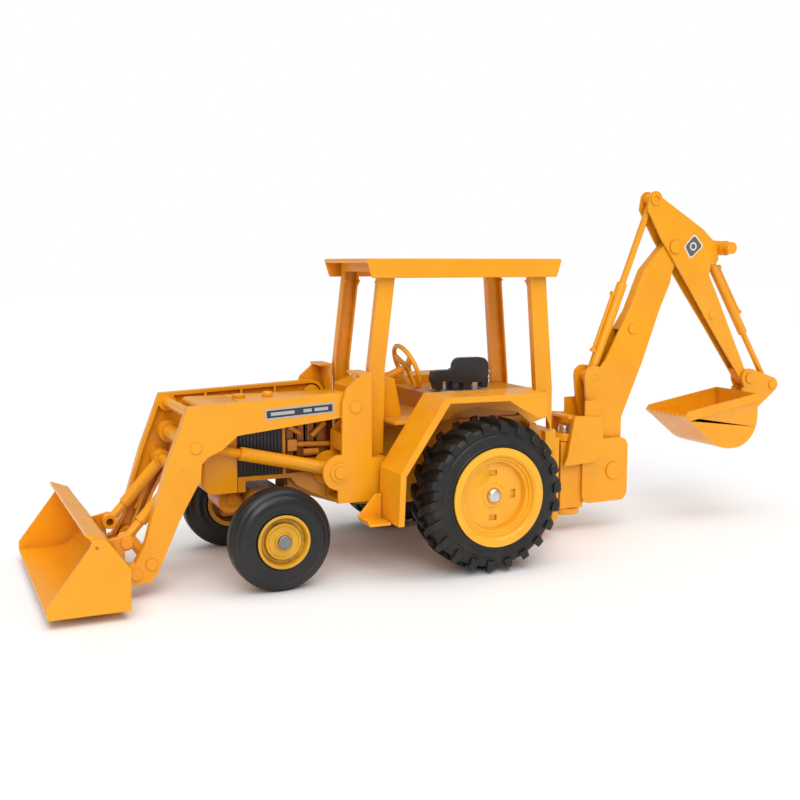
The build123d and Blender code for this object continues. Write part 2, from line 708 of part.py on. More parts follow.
# ---------------------------------------------------------------- loader arms
arm_points = [
    (75.3, 108.4), (173.5, 104.4), (186.5, 70.8), (194.9, 44.1), (198.5, 31.1), (204.5, 19.9),
    (204.5, 8.0), (196.5, 8.2), (192.5, 12.8), (189.5, 19.3), (178.9, 42.6), (167.2, 63.6),
    (166.4, 72.0), (162.9, 75.7), (154.3, 79.6), (145.5, 86.9), (119.0, 89.8), (83.4, 93.5),
    (75.3, 91.4),
]
arm_bosses = (arm_pivot, top_tube, knee, tilt_tube, tip_tube, bucket_pivot)
arm_ribs = ((100, 99, 0), (122, 97, 0), (145, 96, 0), (181, 52, 28), (189, 33, 22))
tube_radii = ((top_tube, 3.0), (knee, 4.5), (tilt_tube, 3.3), (tip_tube, 3.3))


def arm_face(y, inset):
    """Side outline of a loader arm on the plane y, drawn in by the given inset."""
    with BuildSketch(side(y)) as face:
        with BuildLine():
            Polyline(*arm_points, close=True)
        make_face()
        for centre, radius in ((arm_pivot, 8.5), (bucket_pivot, 6.2)):
            with Locations(centre):
                Circle(radius)
        if inset > 0:
            offset(amount=-inset, mode=Mode.REPLACE)
            for centre in arm_bosses:
                with Locations(centre):
                    Circle(5.4, mode=Mode.SUBTRACT)
            for x, z, lean in arm_ribs:
                with Locations((x, z)):
                    Rectangle(1.4, 40, rotation=lean, mode=Mode.SUBTRACT)
    return face.sketch


with BuildPart() as loader_arm:
    extrude(arm_face(arm_out, 0), amount=arm_out - arm_in)
    pocket_y = arm_out - 1.8
    extrude(arm_face(pocket_y, 2), amount=pocket_y - arm_in, mode=Mode.SUBTRACT)
    cross_bar(arm_pivot, pivot_pin_radius + running, arm_out + 1, arm_in - 1, mode=Mode.SUBTRACT)
    for centre in (knee, tip_tube, bucket_pivot):
        cross_bar(centre, 2.6, arm_out + 1, arm_in - 1, mode=Mode.SUBTRACT)
save_pair(loader_arm, "loader_arm")

with BuildPart() as cross_tubes:
    for centre, radius in tube_radii:
        cross_bar(centre, radius, arm_in, -arm_in)
save(cross_tubes, "cross_tubes")

bucket_pin_radius = 2.6
with BuildPart() as arm_rivet:
    for centre in (knee, tip_tube):
        cross_bar(centre, 2.6, arm_out, arm_in)
        cross_bar(centre, 3.3, arm_out + 0.9, arm_out)
    cross_bar(bucket_pivot, bucket_pin_radius, arm_out, bracket_in - 0.4)
    cross_bar(bucket_pivot, 3.3, arm_out + 0.9, arm_out)
save_both(arm_rivet, "arm_rivets")

# ---------------------------------------------------------------- loader bucket
bucket_half, bucket_wall = 74.0, 1.8
with BuildPart() as loader_bucket:
    bucket_outline = [
        (255.3, 4.8), (213.5, 4.8), (213, 26.6), (225.3, 43.9), (231.7, 44.4), (232.8, 40.5),
        (255.3, 11.0),
    ]
    prism(bucket_outline, bucket_half, -bucket_half)
    inner_half = bucket_half - bucket_wall
    with BuildSketch(side(inner_half)) as cavity:
        with BuildLine():
            Line((260, 6.6), (236, 6.6))
            ThreePointArc((236, 6.6), (217.6, 19.5), (228.2, 42.4))
            Line((228.2, 42.4), (240, 42.8))
            Line((240, 42.8), (260, 42.8))
            Line((260, 42.8), (260, 6.6))
        make_face()
    extrude(cavity.sketch, amount=2 * inner_half, mode=Mode.SUBTRACT)
    visor = [(223.6, 42.2), (224.4, 43.5), (234.9, 47.6), (235.4, 46.2), (231.6, 43.2), (228, 42.6)]
    prism(visor, bucket_half - 0.6, -bucket_half + 0.6)
    cross_bar((229.8, 39.9), 0.9, bucket_half + 1, inner_half - 1, mode=Mode.SUBTRACT)
save(loader_bucket, "loader_bucket")

with BuildPart() as bucket_bracket:
    web = [
        (213.5, 8.7), (213, 26.6), (217.2, 32.5), (207.5, 34.5), (207.5, 30), (208.6, 24.5),
        (208.6, 20), (206, 17), (204, 13.7), (204, 8.7),
    ]
    for y_from, y_to in both_hands(bracket_out, bracket_in):
        prism(web, y_from, y_to)
        cross_bar(bucket_ear, 4.5, y_from, y_to)
        cross_bar(bucket_pivot, 5.0, y_from, y_to)
        cross_bar(bucket_pivot, bucket_pin_radius + running, y_from, y_to, mode=Mode.SUBTRACT)
    for y_from, y_to in both_hands(bracket_out + 1.3, bracket_out):
        cross_bar(bucket_ear, 3.3, y_from, y_to)
    prism(bucket_outline, bucket_half, -bucket_half, mode=Mode.SUBTRACT)
save(bucket_bracket, "bucket_brackets")

# ---------------------------------------------------------------- loader cylinders
lift_rest = distance(cylinder_foot, knee)
lift_rod_radius = 2.6
with BuildPart() as lift_barrel:
    cross_bar(cylinder_foot, 5.0, lift_y + 4, lift_y - 4)
    round_bar(cylinder_foot, knee, lift_y, 4.0, 2, 58)
    cross_bar(cylinder_foot, 2.9, lift_y + 5, lift_y - 5, mode=Mode.SUBTRACT)
    round_bar(cylinder_foot, knee, lift_y, lift_rod_radius + running, 7, 60, mode=Mode.SUBTRACT)
save_pair(lift_barrel, "lift_barrel")

with BuildPart() as lift_rod:
    round_bar(cylinder_foot, knee, lift_y, lift_rod_radius, lift_rest - 76, lift_rest - 5)
    cross_bar(knee, 6.5, lift_y + 4, lift_y - 4)
    cross_bar(knee, 4.5 + running, lift_y + 5, lift_y - 5, mode=Mode.SUBTRACT)
save_both(lift_rod, "lift_rods")

tilt_rest = distance(tilt_tube, bucket_ear)
tilt_rod_radius = 2.6
with BuildPart() as tilt_barrel:
    cross_bar(tilt_tube, 5.2, tilt_y + 3.7, tilt_y - 3.7)
    round_bar(tilt_tube, bucket_ear, tilt_y, 3.5, 3.5, 35)
    cross_bar(tilt_tube, 3.3 + running, tilt_y + 5, tilt_y - 5, mode=Mode.SUBTRACT)
    round_bar(tilt_tube, bucket_ear, tilt_y, tilt_rod_radius + running, 7, 37, mode=Mode.SUBTRACT)
save_both(tilt_barrel, "tilt_barrels")

with BuildPart() as tilt_rod:
    round_bar(tilt_tube, bucket_ear, tilt_y, tilt_rod_radius, tilt_rest - 34, tilt_rest - 3)
    cross_bar(bucket_ear, 4.2, tilt_y + 3.7, tilt_y - 3.7)
    cross_bar(bucket_ear, 2.2, tilt_y + 5, tilt_y - 5, mode=Mode.SUBTRACT)
save_both(tilt_rod, "tilt_rods")

# ---------------------------------------------------------------- swing frame
box_half, box_wall = 12.0, 4.2
boom_foot_radius = 3.0
with BuildPart() as swing_frame:
    block(-106, -88, -9.5, 9.5, lug_bottom, lug_top)
    for y_from, y_to in both_hands(box_half, box_half - box_wall):
        with BuildSketch(side(y_from)) as box_side:
            with BuildLine():
                FilletPolyline(
                    (-104, 19.2), (-141.2, 19.2), (-141.2, 63.4), (-104, 63.4), radius=6.5, close=True,
                )
            make_face()
        extrude(box_side.sketch, amount=y_from - y_to)
    block(-112, -105, -box_half, box_half, 20, lug_top)
    cheek = [
        (-95.6, 80.8), (-117, 79.2), (-118.9, 63.6), (-117.6, 54), (-112.4, 48.3), (-87.4, 46.8),
        (-90.2, 53),
    ]
    for y_from, y_to in both_hands(14.6, box_half):
        prism(cheek, y_from, y_to)
    cheek_tab = [(-104.5, 72), (-104.5, 90.5), (-115.0, 90.5), (-116.4, 72)]
    for y_from, y_to in both_hands(13.2, box_half):
        prism(cheek_tab, y_from, y_to)
    block(-100, -92, -box_half, box_half, 78.6, 80.2)
    with BuildSketch(level(10)) as lug_bore:
        with Locations((swing_x, 0)):
            Circle(swing_radius + running)
    extrude(lug_bore.sketch, amount=60, mode=Mode.SUBTRACT)
    cross_bar(boom_pivot, boom_foot_radius, 20, -20, mode=Mode.SUBTRACT)
save(swing_frame, "swing_frame")

with BuildPart() as boom_foot_pin:
    cross_bar(boom_pivot, boom_foot_radius, box_half, -box_half)
    for y_from, y_to in both_hands(box_half + 1, box_half):
        cross_bar(boom_pivot, 6.0, y_from, y_to)
save(boom_foot_pin, "boom_foot_pin")

# ---------------------------------------------------------------- boom
boom_pin_radius, crowd_pin_radius = 2.8, 2.4
boom_stud, dipper_stud, stud_radius = (-147.5, 137.6), (-217.7, 146.1), 3.2


def taper(low_half, high_half, mode):
    """Bar seen from the front, wide below and narrow above, as long as the boom."""
    with BuildSketch(facing(-200)) as front_view:
        with BuildLine():
            Polyline(
                (low_half, 20), (low_half, 115), (high_half, 150), (high_half, 210),
                (-high_half, 210), (-high_half, 150), (-low_half, 115), (-low_half, 20),
                close=True,
            )
        make_face()
    extrude(front_view.sketch, amount=120, mode=mode)


with BuildPart() as boom:
    boom_outline = [
        (-121, 45), (-112.6, 78.3), (-109, 92.3), (-107.6, 106.4), (-108.5, 110.2), (-111.6, 113.0),
        (-115.2, 113.4), (-120.7, 112.5), (-124.7, 117.2), (-145.3, 151), (-157.1, 178.5), (-175.5, 197.7),
        (-188.7, 193.5), (-181.3, 177), (-179.8, 169.3), (-155.5, 116), (-138.4, 76.8),
        (-138.2, 41),
    ]
    prism(boom_outline, 7.2, -7.2)
    cross_bar(boom_pivot, 9, 7.2, -7.2)
    cross_bar(dipper_pivot, 7, 7.2, -7.2)
    taper(7.2, 3.6, Mode.INTERSECT)
with BuildPart() as boom_cavity:
    cavity_outline = [
        (-100, 52), (-100, 130), (-130, 130), (-143.5, 144.5), (-147.5, 150), (-158.7, 177.7),
        (-164, 184), (-176.5, 183), (-178, 170), (-153.9, 116), (-136.8, 76.4), (-136.9, 52),
    ]
    prism(cavity_outline, 10, -10)
    taper(5.3, 2.2, Mode.INTERSECT)
with BuildPart() as boom_casting:
    add(boom.part)
    add(boom_cavity.part, mode=Mode.SUBTRACT)
    for centre, radius in (
        (boom_pivot, boom_foot_radius + running), (crowd_foot, crowd_pin_radius),
        (dipper_pivot, boom_pin_radius), (boom_stud, stud_radius),
    ):
        cross_bar(centre, radius, 9, -9, mode=Mode.SUBTRACT)
save(boom_casting, "boom")

dipper_half, dipper_wall = 5.3, 1.3
with BuildPart() as boom_pins:
    cross_bar(crowd_foot, crowd_pin_radius, 7.2, -7.2)
    cross_bar(dipper_pivot, boom_pin_radius, 6.6, -6.6)
    cross_bar(boom_stud, stud_radius, 5.9, -5.9)
    for y_from, y_to in both_hands(6.6, dipper_half + side_gap):
        cross_bar(dipper_pivot, 4.6, y_from, y_to)
save(boom_pins, "boom_pins")

# ---------------------------------------------------------------- dipper
curl_pin_radius, hoe_pin_radius = 2.2, 2.6
handle_centre = (-224.4, 193.8)
with BuildPart() as dipper_solid:
    dipper_outline = [
        (-170.2, 228), (-206, 207.2), (-215.2, 199.6), (-215.7, 189), (-212.8, 174.8),
        (-234.7, 134.9), (-250.2, 105), (-257, 95.2), (-249, 94.8), (-240.8, 105.4),
        (-189.7, 173.5), (-170.4, 199.2), (-157.8, 219.6), (-159, 228),
    ]
    prism(dipper_outline, dipper_half, -dipper_half)
    cross_bar(crowd_head, 5.6, dipper_half, -dipper_half)
    cross_bar(hoe_pivot, 5.5, dipper_half, -dipper_half)
    lobes(((curl_foot, 4.2), ((-207, 190), 7.0)), dipper_half, -dipper_half)
    prism([(-210, 189.5), (-224, 189.5), (-224, 198.4), (-211, 200)], dipper_half, -dipper_half)
    with BuildSketch(facing(-270)) as dipper_front:
        with BuildLine():
            Polyline(
                (4.2, 80), (4.2, 138), (dipper_half, 162), (dipper_half, 240),
                (-dipper_half, 240), (-dipper_half, 162), (-4.2, 138), (-4.2, 80), close=True,
            )
        make_face()
    extrude(dipper_front.sketch, amount=130, mode=Mode.INTERSECT)
    cross_bar(handle_centre, 5.2, 9, -9)
    cross_bar(handle_centre, 4.3, 15, -15)
with BuildPart() as dipper_cavity:
    inside = [
        (-172, 226.5), (-205.2, 205.9), (-213.6, 198.9), (-214.1, 189.2), (-211.1, 174.9),
        (-233.4, 134.1), (-246, 110), (-237, 103), (-150, 210), (-150, 245), (-172, 245),
    ]
    prism(inside, 4.0, -4.0)
    cross_bar(crowd_head, 9, 4.0, -4.0)
    lobes(((curl_foot, 4.6), ((-233, 160), 5.8)), 4.0, -4.0)
    with BuildSketch(facing(-270)) as inner_front:
        with BuildLine():
            Polyline(
                (2.9, 80), (2.9, 138), (4.0, 162), (4.0, 250), (-4.0, 250), (-4.0, 162),
                (-2.9, 138), (-2.9, 80), close=True,
            )
        make_face()
    extrude(inner_front.sketch, amount=130, mode=Mode.INTERSECT)
with BuildPart() as dipper:
    add(dipper_solid.part)
    add(dipper_cavity.part, mode=Mode.SUBTRACT)
    for centre, radius in (
        (dipper_pivot, boom_pin_radius + running), (crowd_head, 2.4),
        (curl_foot, curl_pin_radius), (hoe_pivot, hoe_pin_radius), (dipper_stud, stud_radius),
    ):
        cross_bar(centre, radius, 9, -9, mode=Mode.SUBTRACT)
save(dipper, "dipper")

ear_in, ear_out = 4.6, 6.2
with BuildPart() as dipper_pins:
    for y_from, y_to in both_hands(dipper_half, dipper_half - dipper_wall):
        cross_bar(crowd_head, 2.4, y_from, y_to)
    for y_from, y_to in both_hands(dipper_half + 0.8, dipper_half):
        cross_bar(crowd_head, 4.4, y_from, y_to)
        cross_bar(crowd_head, 2.4, y_from, y_to, mode=Mode.SUBTRACT)
    cross_bar(curl_foot, curl_pin_radius, dipper_half, -dipper_half)
    cross_bar(hoe_pivot, hoe_pin_radius, ear_out + 1.1, -ear_out - 1.1)
    for y_from, y_to in both_hands(ear_out + 1.1, ear_out + side_gap):
        cross_bar(hoe_pivot, 3.7, y_from, y_to)
    cross_bar(dipper_stud, stud_radius, 5.2, -5.2)
save(dipper_pins, "dipper_pins")

# ---------------------------------------------------------------- hoe bucket
hoe_half, hoe_wall = 22.1, 1.6
with BuildPart() as hoe_bucket:
    rim_step = 0.8
    with BuildSketch(side(hoe_half)) as hoe_side:
        with BuildLine():
            Polyline((-181.9, 76.2), (-184.4, 79.6), (-247.4, 89.9), (-247.4, 72))
            ThreePointArc((-247.4, 72), (-240.6, 56.6), (-226, 51.0))
            ThreePointArc((-226, 51.0), (-214.5, 52.4), (-204.5, 58.0))
            Line((-204.5, 58.0), (-181.9, 76.2))
        make_face()
    extrude(hoe_side.sketch, amount=2 * hoe_half)
    rim = [(-184.4, 79.6), (-247.4, 89.9), (-247.4, 84.2), (-186, 72.9), (-181.9, 76.2)]
    prism(rim, hoe_half + rim_step, -hoe_half - rim_step)
    with BuildSketch(side(hoe_half - hoe_wall)) as hoe_inside:
        with BuildLine():
            Polyline((-178, 81.4), (-178, 95), (-245.8, 95), (-245.8, 72.2))
            ThreePointArc((-245.8, 72.2), (-239.4, 57.8), (-225.8, 52.6))
            ThreePointArc((-225.8, 52.6), (-215.1, 54.0), (-205.4, 59.4))
            Line((-205.4, 59.4), (-178, 81.4))
        make_face()
    extrude(hoe_inside.sketch, amount=2 * (hoe_half - hoe_wall), mode=Mode.SUBTRACT)
    rim_inside = [(-178, 81.4), (-178, 95), (-245.8, 95), (-245.8, 85.4), (-187.6, 74.7), (-187.6, 73.7)]
    prism(rim_inside, hoe_half - hoe_wall + rim_step, -hoe_half + hoe_wall - rim_step, mode=Mode.SUBTRACT)
    groove_places = [5.2 * number for number in range(-3, 4)]
    for y in groove_places:
        round_bar((-181.0, 74.9), (-203.6, 56.7), y, 1.5, -3, 15, mode=Mode.SUBTRACT)
    with BuildSketch(level(70)) as scallops:
        for y in groove_places:
            with Locations((-180.9, y)):
                Circle(1.9)
    extrude(scallops.sketch, amount=15, mode=Mode.SUBTRACT)
    for y_from, y_to in both_hands(ear_out, ear_in):
        lobes(((hoe_pivot, 7.0), (curl_head, 5.5), ((-259.5, 80), 4.0)), y_from, y_to)
        prism([(-247, 92), (-253, 93), (-259, 76.2), (-247, 67)], y_from, y_to)
        cross_bar(hoe_pivot, hoe_pin_radius + running, y_from, y_to, mode=Mode.SUBTRACT)
        cross_bar(curl_head, 2.2, y_from, y_to, mode=Mode.SUBTRACT)
save(hoe_bucket, "hoe_bucket")

with BuildPart() as hoe_bucket_rivets:
    for y_from, y_to in both_hands(ear_out, ear_in):
        cross_bar(curl_head, 2.2, y_from, y_to)
    for y_from, y_to in both_hands(ear_out + 0.9, ear_out):
        cross_bar(curl_head, 3.2, y_from, y_to)
save(hoe_bucket_rivets, "hoe_bucket_rivets")

# ---------------------------------------------------------------- backhoe cylinders
crowd_rest = distance(crowd_foot, crowd_head)
crowd_rod_radius = 2.3


def side_pipe(start, end, offset_by, begin, finish, radius):
    """Thin pipe beside a barrel, with a knob at each end; a positive offset lies behind."""
    line = along(start, end, 0)
    across = Plane(line.origin, x_dir=line.x_dir, z_dir=line.z_dir).y_dir * offset_by
    with BuildSketch(Plane(line.origin + across, x_dir=line.x_dir, z_dir=line.z_dir).offset(begin)) as pipe:
        Circle(radius)
    extrude(pipe.sketch, amount=finish - begin)
    for place in (begin, finish - 2.4):
        knob_plane = Plane(line.origin + across * 0.9, x_dir=line.x_dir, z_dir=line.z_dir).offset(place)
        with BuildSketch(knob_plane) as knob:
            Rectangle(2.4, abs(offset_by))
        extrude(knob.sketch, amount=2.4)


with BuildPart() as crowd_barrel:
    cross_bar(crowd_foot, 4.8, 4.9, -4.9)
    round_bar(crowd_foot, crowd_head, 0, 3.6, 2, 69)
    side_pipe(crowd_foot, crowd_head, -4.6, 17, 61, 1.2)
    cross_bar(crowd_foot, crowd_pin_radius + running, 9, -9, mode=Mode.SUBTRACT)
    round_bar(crowd_foot, crowd_head, 0, crowd_rod_radius + running, 8, 71, mode=Mode.SUBTRACT)
save(crowd_barrel, "crowd_barrel")

with BuildPart() as crowd_rod:
    round_bar(crowd_foot, crowd_head, 0, crowd_rod_radius, crowd_rest - 80, crowd_rest - 3)
    cross_bar(crowd_head, 4.2, 3.7, -3.7)
    cross_bar(crowd_head, 2.0, 9, -9, mode=Mode.SUBTRACT)
save(crowd_rod, "crowd_rod")

curl_rest = distance(curl_foot, curl_head)
curl_rod_radius = 2.1
with BuildPart() as curl_barrel:
    cross_bar(curl_foot, 3.9, 3.7, -3.7)
    round_bar(curl_foot, curl_head, 0, 3.3, 2, 64)
    side_pipe(curl_foot, curl_head, -4.3, 9, 50, 1.2)
    cross_bar(curl_foot, curl_pin_radius + running, 9, -9, mode=Mode.SUBTRACT)
    round_bar(curl_foot, curl_head, 0, curl_rod_radius + running, 8, 66, mode=Mode.SUBTRACT)
save(curl_barrel, "curl_barrel")

with BuildPart() as curl_rod:
    round_bar(curl_foot, curl_head, 0, curl_rod_radius, curl_rest - 62, curl_rest - 3)
    cross_bar(curl_head, 4.2, 4.2, -4.2)
    cross_bar(curl_head, 2.0, 9, -9, mode=Mode.SUBTRACT)
save(curl_rod, "curl_rod")
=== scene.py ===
"""Visual model of a 1:16 die-cast toy backhoe loader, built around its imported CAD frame.

Lengths in the helpers are millimetres and are turned into metres where objects are made.
"""
import json
import math

import bmesh
import bpy
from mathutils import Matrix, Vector


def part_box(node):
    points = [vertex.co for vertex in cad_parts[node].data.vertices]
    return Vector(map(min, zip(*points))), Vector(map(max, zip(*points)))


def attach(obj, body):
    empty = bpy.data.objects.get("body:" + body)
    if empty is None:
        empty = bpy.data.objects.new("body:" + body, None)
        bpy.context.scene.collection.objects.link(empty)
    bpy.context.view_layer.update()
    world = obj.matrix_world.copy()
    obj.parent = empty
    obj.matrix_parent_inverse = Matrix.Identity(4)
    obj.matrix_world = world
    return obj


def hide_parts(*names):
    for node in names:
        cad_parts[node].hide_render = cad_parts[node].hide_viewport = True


MM = 0.001
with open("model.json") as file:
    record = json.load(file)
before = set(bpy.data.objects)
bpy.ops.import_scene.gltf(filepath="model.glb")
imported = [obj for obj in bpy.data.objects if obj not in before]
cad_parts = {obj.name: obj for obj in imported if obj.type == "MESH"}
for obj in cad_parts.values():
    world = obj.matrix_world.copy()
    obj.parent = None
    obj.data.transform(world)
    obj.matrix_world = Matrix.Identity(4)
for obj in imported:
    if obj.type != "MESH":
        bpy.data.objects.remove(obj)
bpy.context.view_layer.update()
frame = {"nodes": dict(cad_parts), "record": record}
nodes = frame["nodes"]
body_of = {
    node: body
    for body, members in frame["record"]["behaviour"]["bodies"].items()
    for node in members
}
slot_of = {part["node"]: part["material_slot"] for part in frame["record"]["subparts"]}


# ---------------------------------------------------------------- materials
class Shade:
    """One node material: keeps the tree at hand and adds nodes with their settings."""

    def __init__(self, name, color, roughness, **sockets):
        self.material = bpy.data.materials.new(name)
        self.material.use_nodes = True
        self.tree = self.material.node_tree
        self.shader = self.tree.nodes["Principled BSDF"]
        self.shader.inputs["Base Color"].default_value = (*color, 1)
        self.shader.inputs["Roughness"].default_value = roughness
        for socket, value in sockets.items():
            self.shader.inputs[socket.replace("_", " ")].default_value = value
        place = self.tree.nodes.new("ShaderNodeTexCoord")
        self.place = place.outputs["Object"]

    def add(self, kind, settings=(), inputs=()):
        node = self.tree.nodes.new("ShaderNode" + kind)
        for name, value in dict(settings).items():
            setattr(node, name, value)
        for name, value in dict(inputs).items():
            if isinstance(value, bpy.types.NodeSocket):
                self.tree.links.new(value, node.inputs[name])
            else:
                node.inputs[name].default_value = value
        return node

    def noise(self, scale, detail=3.0, rough=0.55):
        settings = {"Vector": self.place, "Scale": scale, "Detail": detail, "Roughness": rough}
        return self.add("TexNoise", inputs=settings).outputs["Fac"]

    def spread(self, value, low, high, to_low=0.0, to_high=1.0):
        """Maps low..high of a value to to_low..to_high, clamped."""
        node = self.add(
            "MapRange", {"clamp": True},
            {"Value": value, "From Min": low, "From Max": high, "To Min": to_low, "To Max": to_high},
        )
        return node.outputs["Result"]

    def math(self, operation, first, second):
        node = self.add("Math", {"operation": operation, "use_clamp": True}, {0: first, 1: second})
        return node.outputs[0]

    def mix(self, factor, first, second):
        node = self.add("Mix", {"data_type": "RGBA"})
        for index, value in ((0, factor), (6, first), (7, second)):
            if isinstance(value, bpy.types.NodeSocket):
                self.tree.links.new(value, node.inputs[index])
            elif index == 0:
                node.inputs[index].default_value = value
            else:
                node.inputs[index].default_value = (*value, 1)
        return node.outputs[2]

    def drive(self, socket, value):
        self.tree.links.new(value, self.shader.inputs[socket])

    def bump(self, height, strength, distance):
        node = self.add("Bump", inputs={"Height": height, "Strength": strength, "Distance": distance})
        self.drive("Normal", node.outputs["Normal"])

    def edges(self, radius):
        """Bright along sharp edges: how far the rounded normal turns from the real one."""
        rounded = self.add("Bevel", {"samples": 6}, {"Radius": radius})
        real = self.add("NewGeometry")
        normals = {0: rounded.outputs[0], 1: real.outputs["Normal"]}
        dot = self.add("VectorMath", {"operation": "DOT_PRODUCT"}, normals)
        return self.spread(dot.outputs["Value"], 0.93, 0.8)


def enamel(name, color, deep, wear, roughness=0.3, coat=0.2):
    """Gloss enamel on a casting: colour drift, painted shade darkening its corners, fine specks and chipped
    edges.
    """
    shade = Shade(name, color, roughness, Coat_Weight=coat, Coat_Roughness=0.12, Specular_IOR_Level=0.32)
    drift = shade.spread(shade.noise(28, 4), 0.38, 0.68)
    # Painted shade: corners and creases are darkened towards a deep brown, in noisy patches.
    hollow = shade.add("AmbientOcclusion", {"samples": 6}, {"Distance": 0.009})
    corners = shade.spread(hollow.outputs["AO"], 0.85, 0.3, 0.0, 0.55)
    painted_shade = shade.math("MULTIPLY", corners, shade.spread(shade.noise(110, 4), 0.3, 0.6))
    paint = shade.mix(painted_shade, shade.mix(drift, color, deep), (0.36, 0.12, 0.006))
    chipped = shade.math(
        "MULTIPLY", shade.edges(0.0007), shade.spread(shade.noise(260, 5, 0.7), 0.66 - wear, 0.70 - wear)
    )
    specks = shade.spread(shade.noise(520, 2, 0.4), 0.765, 0.79)
    worn = shade.math("MAXIMUM", chipped, shade.math("MULTIPLY", specks, 0.75))
    metal = shade.mix(shade.noise(700, 2), (0.11, 0.075, 0.05), (0.24, 0.2, 0.16))
    shade.drive("Base Color", shade.mix(worn, paint, metal))
    polish = shade.spread(shade.noise(90, 4), 0.3, 0.75, roughness - 0.07, roughness + 0.12)
    shade.drive("Roughness", polish)
    shade.drive("Metallic", shade.math("MULTIPLY", worn, 0.55))
    shade.bump(shade.noise(330, 3, 0.5), 0.07, 0.0006)
    return shade.material


def moulded(name, color, deep, roughness, painted_shade):
    """Moulded plastic with painted shade darkening its corners."""
    shade = Shade(name, color, roughness, Coat_Weight=0.15, Coat_Roughness=0.2)
    # Painted shade: corners are darkened towards a dark brown in noisy patches; the last argument sets how
    # strongly.
    hollow = shade.add("AmbientOcclusion", {"samples": 6}, {"Distance": 0.0035})
    corners = shade.spread(hollow.outputs["AO"], 0.78, 0.35)
    painted_corner_shade = shade.math("MULTIPLY", corners, shade.spread(shade.noise(160, 4), 0.3, 0.6))
    plastic = shade.mix(shade.spread(shade.noise(45, 3), 0.35, 0.7), color, deep)
    shade.drive("Base Color", shade.mix(shade.math("MULTIPLY", painted_corner_shade, painted_shade), plastic, (0.16, 0.065, 0.012)))
    polish = shade.spread(shade.noise(120, 3), 0.3, 0.7, roughness - 0.05, roughness + 0.14)
    shade.drive("Roughness", polish)
    shade.bump(shade.noise(420, 2, 0.5), 0.05, 0.0005)
    return shade.material


def rubber(name, color, dust, roughness, dusty):
    """Black tyre rubber, scuffed and a little dusty on what stands out."""
    shade = Shade(name, color, roughness, Specular_IOR_Level=0.42)
    patches = shade.math("MULTIPLY", shade.spread(shade.noise(70, 5, 0.7), 0.42, 0.75), dusty)
    rubbed = shade.spread(shade.noise(240, 4), 0.45, 0.6, 0.0, 0.5)
    scuffs = shade.math("MULTIPLY", shade.edges(0.0009), rubbed)
    shade.drive("Base Color", shade.mix(shade.math("MAXIMUM", patches, scuffs), color, dust))
    shade.drive("Roughness", shade.spread(shade.noise(55, 4), 0.3, 0.7, roughness - 0.1, roughness + 0.15))
    shade.bump(shade.noise(900, 3, 0.6), 0.12, 0.0004)
    return shade.material


def plated(name, color, roughness, tarnish):
    """Bare or plated steel with fine turning marks and tarnish."""
    shade = Shade(name, color, roughness, Metallic=1.0)
    spots = shade.math("MULTIPLY", shade.spread(shade.noise(420, 5, 0.7), 0.5, 0.72), tarnish)
    shade.drive("Base Color", shade.mix(spots, color, (0.16, 0.12, 0.09)))
    polish = shade.spread(shade.noise(300, 3), 0.3, 0.7, roughness - 0.08, roughness + 0.15)
    shade.drive("Roughness", polish)
    shade.bump(shade.noise(800, 2, 0.5), 0.1, 0.0003)
    return shade.material


YELLOW, YELLOW_DEEP = (0.87, 0.365, 0.007), (0.84, 0.33, 0.005)
paint = enamel("loader_yellow_enamel", YELLOW, YELLOW_DEEP, 0.0)
worn_paint = enamel("loader_yellow_worn_enamel", YELLOW, YELLOW_DEEP, 0.085)
rim_plastic = moulded(
    "wheel_yellow_plastic", (0.9, 0.44, 0.013), (0.86, 0.38, 0.008), 0.3, 0.55,
)
front_rim_plastic = moulded(
    "front_wheel_yellow_plastic", (0.7, 0.36, 0.008), (0.56, 0.265, 0.008), 0.34, 0.95,
)
# Darker, browner copy of the yellow for the deck and chassis: partly grime, partly painted shade.
deck_grime_and_shade_paint = enamel(
    "deck_grime_and_painted_shade_enamel", (0.7, 0.29, 0.012), (0.56, 0.215, 0.012), 0.02, roughness=0.38,
)
engine_plastic = moulded(
    "engine_brown_plastic", (0.4, 0.125, 0.005), (0.28, 0.08, 0.003), 0.4, 0.9,
)
hose_plastic = moulded(
    "hose_orange_plastic", (0.68, 0.26, 0.008), (0.5, 0.175, 0.005), 0.36, 0.9,
)
rear_rubber = rubber(
    "rear_tyre_rubber", (0.008, 0.0078, 0.0075), (0.055, 0.04, 0.028), 0.45, 0.32,
)
front_rubber = rubber(
    "front_tyre_rubber", (0.009, 0.009, 0.0095), (0.05, 0.038, 0.028), 0.32, 0.22,
)
seat_plastic = moulded(
    "seat_black_plastic", (0.013, 0.0125, 0.013), (0.018, 0.017, 0.017), 0.36, 0.1,
)
grille_black = moulded(
    "grille_black_plastic", (0.014, 0.013, 0.013), (0.02, 0.018, 0.016), 0.42, 0.2,
)
grille_silver = plated("grille_silver_plating", (0.5, 0.5, 0.5), 0.38, 0.4)
steel = plated("bright_steel", (0.68, 0.67, 0.63), 0.3, 0.3)
dull_steel = plated("dull_steel", (0.26, 0.26, 0.265), 0.42, 0.45)
label_silver = plated("label_silver", (0.55, 0.55, 0.56), 0.4, 0.25)
label_black = moulded(
    "label_black", (0.02, 0.019, 0.02), (0.028, 0.026, 0.026), 0.35, 0.1,
)
label_white = moulded(
    "label_white", (0.8, 0.79, 0.76), (0.74, 0.72, 0.68), 0.4, 0.2,
)
label_grey = moulded(
    "label_grey", (0.13, 0.125, 0.12), (0.1, 0.1, 0.098), 0.4, 0.2,
)

material_of_slot = {
    "paint": paint, "wheel_plastic": rim_plastic, "steel": steel, "tyre": rear_rubber,
    "seat_plastic": seat_plastic, "grille_silver": grille_silver, "grille_black": grille_black,
}
for name, node in nodes.items():
    node.data.materials.clear()
    node.data.materials.append(material_of_slot[slot_of[name]])


def dress(names, material):
    for name in names:
        nodes[name].data.materials.clear()
        nodes[name].data.materials.append(material)


